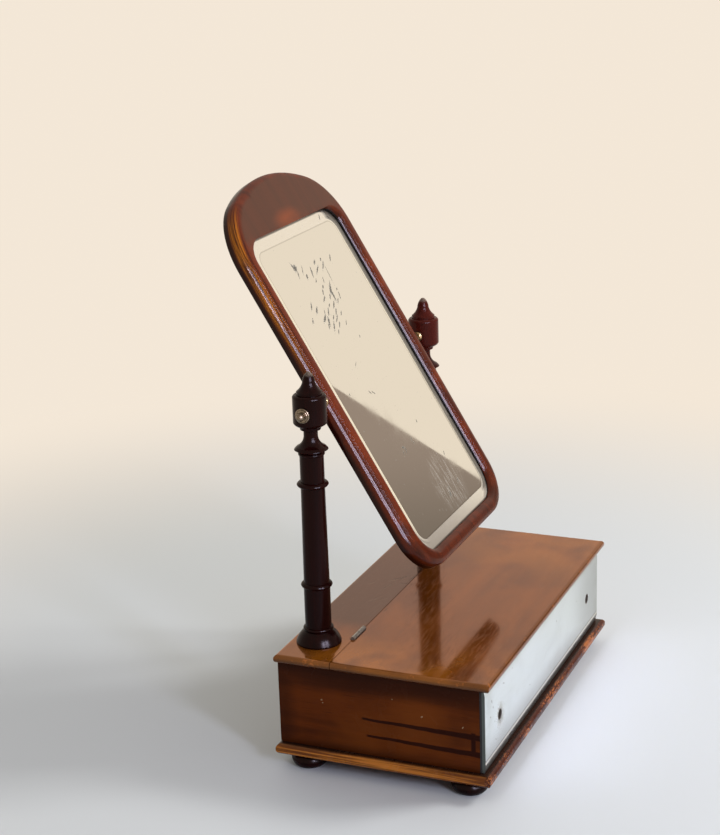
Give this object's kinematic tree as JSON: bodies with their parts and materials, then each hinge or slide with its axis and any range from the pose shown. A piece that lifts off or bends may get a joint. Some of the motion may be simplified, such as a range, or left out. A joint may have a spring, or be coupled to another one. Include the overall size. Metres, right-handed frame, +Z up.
{
  "type": "dressing table mirror with drawer",
  "caption": "Swing mirror between turned posts, on a low wooden box with a hinged lid and a mirror-fronted drawer.",
  "frame": {"origin": "on the surface the feet stand on, below the middle of the object's bounding box with the mirror leaning back as in the picture", "axes": "+Z up, -Y towards the user (the side with the mirrored drawer front), +X to the user's right when facing it; the mirror and the lid turn about axes along X"},
  "size_m": [0.4358, 0.344, 0.5989],
  "materials": {
    "top_wood": "polished, worn warm brown",
    "case_wood": "dark brown french polish",
    "base_wood": "dark red-brown, worn at the edges",
    "post_wood": "near-black glossy polish",
    "frame_wood": "red-brown mahogany, polished",
    "carcass_wood": "plain, oiled",
    "drawer_wood": "plain, waxed",
    "black_backing": "matt black",
    "mirror_glass": "silvered, bevelled, aged",
    "front_mirror": "silvered, aged dark",
    "brass": "aged, lacquer worn",
    "steel": "dull"
  },
  "bodies": {
    "case": {"base_board": "base_wood", "base_screws": "steel", "left_side": "case_wood", "right_side": "case_wood", "back_panel": "carcass_wood", "front_rail": "carcass_wood", "tray_floor": "carcass_wood", "tray_back": "carcass_wood", "tray_ledge_left": "carcass_wood", "tray_ledge_right": "carcass_wood", "foot_front_left": "post_wood", "foot_front_right": "post_wood", "foot_rear_left": "post_wood", "foot_rear_right": "post_wood", "post_left": "post_wood", "post_right": "post_wood", "post_block_left": "carcass_wood", "post_block_right": "carcass_wood", "rear_strip": "top_wood", "hinge_left_strip_leaf": "brass", "hinge_right_strip_leaf": "brass", "hinge_screws_strip": "brass", "hinge_left_pin": "brass", "hinge_right_pin": "brass"},
    "lid": {"lid": "top_wood", "hinge_left_lid_leaf": "brass", "hinge_right_lid_leaf": "brass", "hinge_screws_lid": "brass"},
    "drawer": {"drawer_front": "drawer_wood", "drawer_side_left": "drawer_wood", "drawer_side_right": "drawer_wood", "drawer_back": "drawer_wood", "drawer_bottom": "drawer_wood", "plate_backing": "black_backing", "front_mirror_plate": "front_mirror"},
    "mirror": {"mirror_frame": "frame_wood", "mirror_glass": "mirror_glass", "mirror_back": "carcass_wood", "mirror_back_screws": "steel", "pivot_bush_left": "brass", "pivot_bush_right": "brass"},
    "thumb_screw_left": {"thumb_screw_left": "brass"},
    "thumb_screw_right": {"thumb_screw_right": "brass"}
  },
  "joints": [
    {"name": "lid_hinge", "type": "hinge", "parent": "case", "child": "lid", "pos_m": [0, 0.0047, 0.1308], "axis": [-1, 0, 0], "range_deg": [0, 38]},
    {"name": "mirror_tilt", "type": "hinge", "parent": "case", "child": "mirror", "pos_m": [0, 0.0379, 0.3877], "axis": [-1, 0, 0], "range_deg": [-50.94, 45]},
    {"name": "drawer_slide", "type": "slide", "parent": "case", "child": "drawer", "axis": [0, -1, 0], "range_m": [0, 0.16]},
    {"name": "thumb_screw_left_turn", "type": "hinge", "parent": "mirror", "child": "thumb_screw_left", "pos_m": [-0.1838, 0.0379, 0.3877], "axis": [-1, 0, 0], "range_deg": [-90, 180]},
    {"name": "thumb_screw_right_turn", "type": "hinge", "parent": "mirror", "child": "thumb_screw_right", "pos_m": [0.1838, 0.0379, 0.3877], "axis": [1, 0, 0], "range_deg": [-90, 180]}
  ]
}
